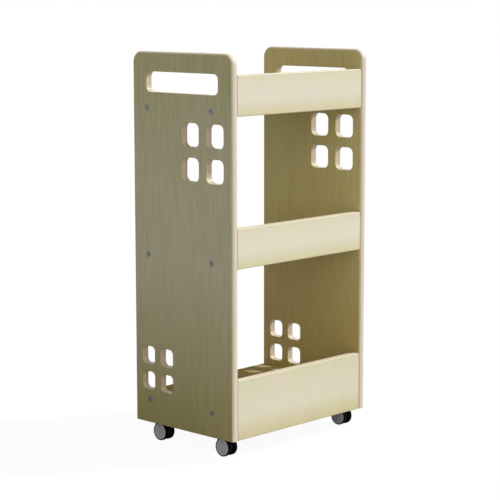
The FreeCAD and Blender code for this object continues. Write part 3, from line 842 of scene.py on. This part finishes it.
@dataclass
class Fasteners:
    """Bolts, nuts, screws and dowels.

    The bolts are modelled anew with turned heads and hexagon sockets; the rest is carried over.
    """

    zinc: Metal = Metal()
    beech: Beech = Beech()
    socket_width_mm: float = 4.0
    socket_depth_mm: float = 1.4
    shank_mm: float = 6.0
    head_mm: float = 2.0
    lip_mm: float = 0.25
    brim_mm: float = 0.45
    segments: int = 48

    def build(self) -> None:
        """Builds the bolts and dresses the fasteners."""
        zinc = self.zinc.material()
        for node in ("barrel_nuts", "cleat_screws"):
            dress(node, zinc)
        beech = self.beech.material()
        for node in ("shelf_end_dowels", "rail_end_dowels", "rail_shelf_dowels"):
            dress(node, beech)
        for side, hand in (("left", -1.0), ("right", 1.0)):
            self.bolts(side, hand, zinc)

    def bolts(self, side: str, hand: float, finish: bpy.types.Material) -> None:
        """Models the six connector bolts of one side panel.

        Args:
            side: the panel's side.
            hand: the direction along X in which the heads look.
            finish: the bolts' material.
        """
        node = f"{side}_connector_bolts"
        low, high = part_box(node)
        shelves = [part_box(f"{name}_shelf") for name in ("bottom", "middle", "top")]
        heights = [(shelf_low.z + shelf_high.z) / 2 for shelf_low, shelf_high in shelves]
        radius = high.z - heights[-1]
        face, tail = (high.x, low.x) if hand > 0 else (low.x, high.x)
        shells = []
        for height in heights:
            for depth in (low.y + radius, high.y - radius):
                shells.append(self.bolt(Vector((face, depth, height)), hand, radius, abs(face - tail)))
        bolts = piece_from(f"{node}_look", shells, finish)
        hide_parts(node)
        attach(bolts, "cart")
        LOG.info("%s: %d heads, %.1f mm across", node, len(shells), 2 * radius / MM)

    def bolt(self, crown: Vector, hand: float, radius: float,
             length: float) -> tuple[np.ndarray, list[list[int]]]:
        """Works out one bolt as a grid of angle and ring.

        Each row of numbers is one ring: its depth below the crown, its radius, and 1 if it belongs to the
        socket. There the radius at angle a is that of a hexagon: half its width over the cosine of the
        angle to the nearest flat's middle. The rings run from the socket's floor over its lip, a shallow
        groove and the head's rounded brim to the shank and its end.

        Args:
            crown: the middle of the head's outer face.
            hand: the direction along X in which the head looks.
            radius: the head's radius.
            length: the whole bolt's length.

        Returns:
            Vertices and faces.
        """
        head, shank, flat = self.head_mm * MM, self.shank_mm / 2 * MM, self.socket_width_mm / 2 * MM
        deep, brim, lip = self.socket_depth_mm * MM, self.brim_mm * MM, self.lip_mm * MM
        rows = np.array([
            (deep, 0.02 * flat, 1), (deep, 0.96 * flat, 1), (deep - 0.05 * MM, flat, 1),
            (lip, flat, 1), (0.0, flat + lip, 1), (0.0, flat + 2.2 * lip, 0),
            (0.0, radius - 2.6 * brim, 0), (0.12 * MM, radius - 2.2 * brim, 0),
            (0.12 * MM, radius - 1.6 * brim, 0), (0.0, radius - 1.2 * brim, 0),
            (0.08 * MM, radius - 0.5 * brim, 0), (0.35 * MM, radius - 0.1 * brim, 0),
            (brim * 1.4, radius, 0), (head - 0.15 * MM, radius, 0), (head, radius - 0.15 * MM, 0),
            (head, shank + 0.2 * MM, 0), (head + 0.2 * MM, shank, 0), (length - 0.5 * MM, shank, 0),
            (length, shank - 0.5 * MM, 0), (length, 0.02 * shank, 0)])
        angle = np.linspace(0, 2 * np.pi, self.segments, endpoint=False)[None, :]
        to_flat = np.mod(angle, np.pi / 3) - np.pi / 6
        hexagon = rows[:, 1, None] / np.cos(to_flat)
        reach = np.where(rows[:, 2, None] > 0.5, hexagon, rows[:, 1, None])
        x = np.broadcast_to(crown.x - hand * rows[:, 0, None], reach.shape)
        grid = np.stack([x, crown.y + reach * np.cos(angle), crown.z + reach * np.sin(angle)], axis=-1)
        return grid.reshape(-1, 3), capped(len(rows), self.segments)


@dataclass
class Casters:
    """Four stem casters, each with a core between two wheels and a cap on each wheel.

    Wheels, caps and cores are modelled anew over their CAD solids, with rounded edges. Sizes that the
    CAD model holds are read from its boxes.
    """

    steel: Metal = Metal("turned_steel", "#a3a3a6", "#85858a", 0.32)
    nylon: Moulded = Moulded("black_nylon", "#080808", "#0d0d0c", 0.5, gloss=0.2)
    tread: Moulded = Moulded("black_polyurethane_tread", "#020202", "#040404", 0.42, bump=0.1, gloss=0.06)
    # the cap's paler ring is a painted highlight on its raised outer rim
    grey: Moulded = Moulded("grey_abs_cap", "#b2b1b4", "#b9b8bc", 0.55, rim="#c4c3c6", painted_highlight_from_mm=16.2)
    segments: int = 96
    corner_steps: int = 7
    play_mm: float = 0.05
    # the wheel
    tread_round_mm: float = 0.9
    groove_in_mm: float = 2.0
    groove_mm: float = 0.2
    groove_deep_mm: float = 0.25
    rim_wall_mm: float = 4.5
    web_from_mm: float = 3.2
    web_mm: float = 2.2
    hub_mm: float = 6.0
    hub_long_mm: float = 5.6
    # the cap
    cap_mm: float = 1.5
    skirt_mm: float = 1.0
    skirt_play_mm: float = 0.2
    skirt_end_play_mm: float = 0.3
    ring_mm: float = 2.2
    dish_mm: float = 0.35
    button_mm: float = 4.0
    # the core and its collar
    core_half_mm: float = 5.0
    core_bevel_mm: float = 0.8
    core_bevel_steps: int = 5
    core_boss_mm: float = 6.5
    core_foot_mm: float = 5.0
    core_arc: tuple[float, float] = (120.0, 300.0)
    core_arc_points: int = 48
    core_points: int = 200
    core_window: int = 9
    core_over_wheel_mm: float = 0.5
    collar_mm: float = 8.5
    collar_bore_mm: float = 3.6
    collar_sunk_mm: float = 1.0
    collar_steps: int = 6

    def build(self) -> None:
        """Builds and dresses all four casters."""
        steel, nylon = self.steel.material(), self.nylon.material()
        tread, grey = self.tread.material(), self.grey.material()
        dress("stem_grip_rings", steel)
        for end in ("front", "rear"):
            for side in ("left", "right"):
                name = f"{end}_{side}"
                dress(f"{name}_socket", nylon)
                for part in ("stem", "thrust_washer", "axle", "axle_clips"):
                    dress(f"{name}_{part}", steel)
                self.core(name, nylon)
                for place in ("outer", "inner"):
                    self.wheel(name, place, tread)
                    self.cap(name, place, grey)

    def seat(self, name: str, place: str) -> tuple[Vector, float, float, float]:
        """Finds where a wheel sits on its axle.

        Args:
            name: the caster.
            place: outer or inner wheel.

        Returns:
            The middle of the wheel's inner face, the direction along X in which it looks out, its width
            and its radius in millimetres.
        """
        low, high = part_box(f"{name}_{place}_wheel")
        axle_low, axle_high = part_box(f"{name}_axle")
        middle = (axle_low + axle_high) / 2
        hand = 1.0 if (low.x + high.x) / 2 > middle.x else -1.0
        centre = Vector((low.x if hand > 0 else high.x, middle.y, middle.z))
        return centre, hand, (high.x - low.x) / MM, (high.z - low.z) / 2 / MM

    def wheel(self, name: str, place: str, finish: bpy.types.Material) -> None:
        """Models a wheel as one turned profile round its hub, web, rim and tread.

        The profile counts millimetres outwards from the wheel's inner face. A shallow groove in that face
        marks where the tread is moulded onto the rim.

        Args:
            name: the caster.
            place: outer or inner wheel.
            finish: the wheel's material.
        """
        centre, hand, width, radius = self.seat(name, place)
        axle_low, axle_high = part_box(f"{name}_axle")
        cap_low, cap_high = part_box(f"{name}_{place}_cap")
        bore = (axle_high.z - axle_low.z) / 2 / MM + self.play_mm
        cap = (cap_high.z - cap_low.z) / 2 / MM + self.play_mm
        rim, hub, step = radius - self.rim_wall_mm, self.hub_mm, width - self.cap_mm
        web, web_end, hub_end = self.web_from_mm, self.web_from_mm + self.web_mm, self.hub_long_mm
        groove, tread = radius - self.groove_in_mm, self.tread_round_mm
        rows = np.array([
            (0, bore, 0.2), (0, hub, 0.4), (web, hub, 0.5), (web, rim, 0.8), (0, rim, 0.3),
            (0, groove - self.groove_mm, 0.05), (self.groove_deep_mm, groove, 0.05),
            (0, groove + self.groove_mm, 0.05), (0, radius, tread), (width, radius, tread),
            (width, cap, 0.2), (step, cap, 0.1), (step, rim, 0.1), (web_end, rim, 0.4), (web_end, hub, 0.08),
            (hub_end, hub, 0.08), (hub_end, bore, 0.1)])
        turned = round_profile(rows, self.corner_steps) * np.array([hand * MM, MM])
        shell = revolve(turned, Axis.X, centre, self.segments)
        tyre = piece_from(f"{name}_{place}_wheel_look", [shell], finish)
        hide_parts(f"{name}_{place}_wheel")
        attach(tyre, f"{name}_{place}_roll")
        LOG.info("%s %s wheel: %.1f mm across, %.1f mm wide", name, place, 2 * radius, width)

    def cap(self, name: str, place: str, finish: bpy.types.Material) -> None:
        """Models a wheel's cap: a shallow dish inside a raised ring, on a skirt that snaps into the rim.

        The dish has a low button in its middle.

        Args:
            name: the caster.
            place: outer or inner wheel.
            finish: the cap's material.
        """
        centre, hand, width, radius = self.seat(name, place)
        low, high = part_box(f"{name}_{place}_cap")
        edge, back = (high.z - low.z) / 2 / MM, width - self.cap_mm
        skirt = radius - self.rim_wall_mm - self.skirt_play_mm
        deep = self.web_from_mm + self.web_mm + self.skirt_end_play_mm
        ring, dish, button = edge - self.ring_mm, width - self.dish_mm, width - 0.15
        rows = np.array([
            (back, 0.02, 0.01), (back, skirt - self.skirt_mm, 0.1), (deep, skirt - self.skirt_mm, 0.1),
            (deep, skirt, 0.1), (back, skirt, 0.1), (back, edge, 0.15), (width - 0.5, edge, 0.25),
            (width, edge - 0.9, 0.35), (width, ring, 0.2), (dish, ring - 0.7, 0.2),
            (dish, self.button_mm, 0.1), (button, self.button_mm - 0.6, 0.1), (button, 0.02, 0.01)])
        turned = round_profile(rows, self.corner_steps) * np.array([hand * MM, MM])
        shell = revolve(turned, Axis.X, centre, self.segments)
        disc = piece_from(f"{name}_{place}_cap_look", [shell], finish, centre)
        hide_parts(f"{name}_{place}_cap")
        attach(disc, f"{name}_{place}_roll")

    def core(self, name: str, finish: bpy.types.Material) -> None:
        """Models a caster's core: a rounded slab between the wheels, and the turned collar on top of it.

        Seen from the side, the slab is a disc about the axle joined to an upright boss about the stem,
        with a level top between them that clears the side panels when the caster swivels.

        Args:
            name: the caster.
            finish: the core's material.
        """
        low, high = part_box(f"{name}_caster_core")
        axle_low, axle_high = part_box(f"{name}_axle")
        stem_low, stem_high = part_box(f"{name}_stem")
        axle, pin = (axle_low + axle_high) / 2, (stem_low + stem_high) / 2
        wheel_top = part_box(f"{name}_outer_wheel")[1].z
        disc, front = (axle.y - low.y) / MM, (pin.y - axle.y) / MM + self.core_boss_mm
        top = (wheel_top - axle.z) / MM + self.core_over_wheel_mm
        angle = np.radians(np.linspace(*self.core_arc, self.core_arc_points))
        corners = np.array([(front, self.core_foot_mm - disc), (front, top), (0, top)])
        arc = disc * np.stack([np.cos(angle), np.sin(angle)], axis=1)
        outline = soft_outline(np.concatenate([corners, arc]), self.core_points, self.core_window)
        outline = outline * MM + np.array([axle.y, axle.z])
        points, faces = slab(outline, self.core_half_mm * MM, self.core_bevel_mm * MM, self.core_bevel_steps)
        points = points + np.array([axle.x, 0, 0])
        base = axle.z + (top - self.collar_sunk_mm) * MM
        rise = (high.z - base) / MM
        rows = np.array([(0.0, self.collar_bore_mm, 0.1), (0.0, self.collar_mm, 0.4),
                         (rise, self.collar_mm, 0.6), (rise, self.collar_bore_mm, 0.2)])
        turned = round_profile(rows, self.collar_steps) * MM
        collar = revolve(turned, Axis.Z, Vector((pin.x, pin.y, base)), self.segments)
        body = piece_from(f"{name}_core_look", [(points, faces), collar], finish)
        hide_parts(f"{name}_caster_core")
        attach(body, f"{name}_swivel")


# ------------------------------------------------------------------ studio
@dataclass
class Studio:
    """A pale floor, a key lamp from the right front, a wide fill lamp, a white surround and the camera.

    Angles are in degrees, the lens and its sensor in millimetres, and places in metres.
    """

    eye: tuple[float, float, float] = (-2.84529, -2.72636, 1.02868)
    yaw: float = -46.173
    pitch: float = 8.577
    roll: float = -0.040
    lens: float = 122.60
    sensor: float = 36.0
    far: float = 60.0
    key_from: tuple[float, float, float] = (0.647, -0.389, 0.656)
    key_strength: float = 2.7
    key_angle: float = 3.0
    fill_from: tuple[float, float, float] = (-0.50, -0.70, 0.50)
    fill_strength: float = 0.72
    fill_angle: float = 60.0
    surround: float = 0.34
    floor_colour: str = "#b4b4b4"
    floor_reach: float = 30.0
    floor_glow: float = 1.10
    floor_glow_share: float = 0.86

    def build(self) -> None:
        """Sets up everything that isn't the cart."""
        scene = bpy.context.scene
        scene.view_settings.view_transform = "Standard"
        self.camera()
        self.lamp("key", self.key_from, self.key_strength, self.key_angle)
        self.lamp("fill", self.fill_from, self.fill_strength, self.fill_angle)
        self.world()
        self.floor()

    def camera(self) -> None:
        """Places the camera at its height and angle."""
        data = bpy.data.cameras.new("camera")
        data.lens = self.lens
        data.sensor_width = self.sensor
        data.clip_end = self.far
        camera = show("camera", data)
        turn = Matrix.Rotation(math.radians(self.yaw), 4, "Z")
        tilt = Matrix.Rotation(math.radians(90 - self.pitch), 4, "X")
        twist = Matrix.Rotation(math.radians(self.roll), 4, "Z")
        camera.matrix_world = Matrix.Translation(self.eye) @ turn @ tilt @ twist
        bpy.context.scene.camera = camera

    def lamp(self, name: str, towards: tuple[float, float, float], strength: float,
             angle: float) -> None:
        """Adds one distant lamp.

        Args:
            name: the lamp's name.
            towards: direction from the cart to the lamp.
            strength: its strength in watts per square metre.
            angle: how wide it looks from the cart, in degrees; a wide lamp casts soft shadows.
        """
        data = bpy.data.lights.new(name, "SUN")
        data.energy = strength
        data.angle = math.radians(angle)
        lamp = show(name, data)
        lamp.rotation_mode = "QUATERNION"
        lamp.rotation_quaternion = Vector(towards).to_track_quat("Z", "Y")

    def world(self) -> None:
        """Makes the surround white to the camera and to gloss, and an even fill light to the rest."""
        world = bpy.data.worlds.new("surround")
        bpy.context.scene.world = world
        tree = fresh_tree(world)
        path = add(tree, "ShaderNodeLightPath").outputs
        seen = calc(tree, "MAXIMUM", path["Is Camera Ray"], path["Is Glossy Ray"])
        seen = calc(tree, "MAXIMUM", seen, path["Is Transmission Ray"])
        strength = carry(tree, seen, 0.0, 1.0, self.surround, 1.0)
        light = add(tree, "ShaderNodeBackground", {"Color": WHITE, "Strength": strength})
        add(tree, "ShaderNodeOutputWorld", {"Surface": light.outputs[0]})

    def floor(self) -> None:
        """Lays the floor, white to the camera apart from the cart's shadow.

        To the camera it is mostly a white glow; the rest is matt and takes the shadow.
        """
        mesh = bpy.data.meshes.new("floor")
        reach = self.floor_reach
        corners = [(-reach, -reach, 0), (reach, -reach, 0), (reach, reach, 0), (-reach, reach, 0)]
        mesh.from_pydata(corners, [], [(0, 1, 2, 3)])
        material = bpy.data.materials.new("matt_white_floor")
        tree = fresh_tree(material)
        seen = add(tree, "ShaderNodeLightPath").outputs["Is Camera Ray"]
        matt = add(tree, "ShaderNodeBsdfDiffuse", {"Color": linear(self.floor_colour)})
        glow = add(tree, "ShaderNodeEmission", {"Color": WHITE, "Strength": self.floor_glow})
        share = calc(tree, "MULTIPLY", seen, self.floor_glow_share)
        mixed = add(tree, "ShaderNodeMixShader", {0: share, 1: matt.outputs[0], 2: glow.outputs[0]})
        add(tree, "ShaderNodeOutputMaterial", {"Surface": mixed.outputs[0]})
        mesh.materials.append(material)
        show("floor", mesh)


def main() -> None:
    """Builds the cart's looks and its studio."""
    logging.basicConfig(level=logging.INFO)
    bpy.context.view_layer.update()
    for part in (Studio(), Boards(), Fasteners(), Casters()):
        part.build()
        LOG.info("%s built", type(part).__name__)


if __name__ == "__main__":
    main()
